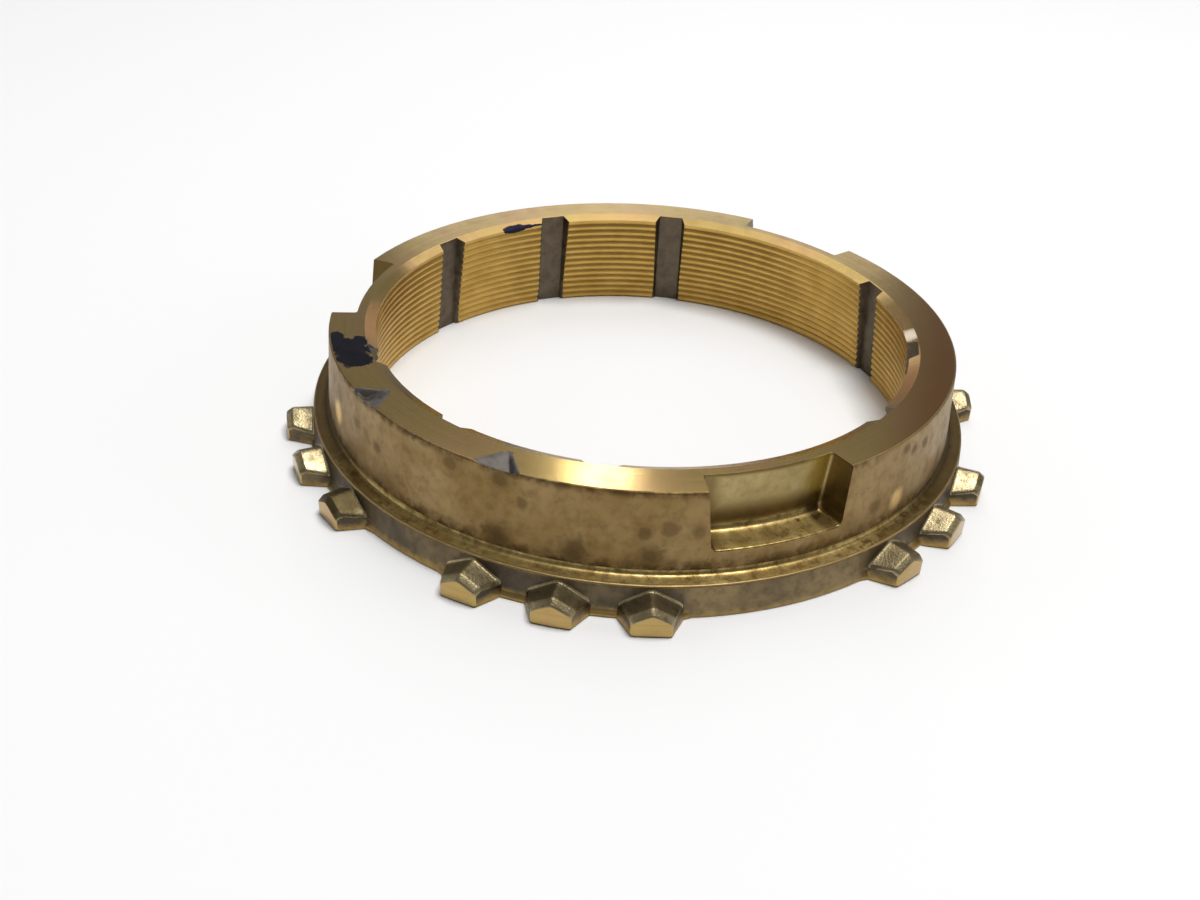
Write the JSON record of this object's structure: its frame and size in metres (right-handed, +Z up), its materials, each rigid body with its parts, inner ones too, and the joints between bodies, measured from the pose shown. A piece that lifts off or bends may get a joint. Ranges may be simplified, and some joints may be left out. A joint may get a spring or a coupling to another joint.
{
  "type": "synchronizer ring",
  "caption": "Brass gearbox synchronizer ring with a threaded friction cone, axial oil grooves, groups of pointed dog teeth and key slots in its outer wall.",
  "frame": {"origin": "on the ring's axis, in the plane of the flat toothed end that it rests on", "axes": "+Z up the ring's axis towards the slotted end, -Y towards the side with the two identification notches, one key slot on +Y"},
  "size_m": [0.0738, 0.0715, 0.0114],
  "materials": {
    "brass": "as-forged satin skin with turned top face, chamfer, cone and tooth tips"
  },
  "bodies": {
    "root": {"synchronizer_ring": "brass"}
  },
  "joints": []
}
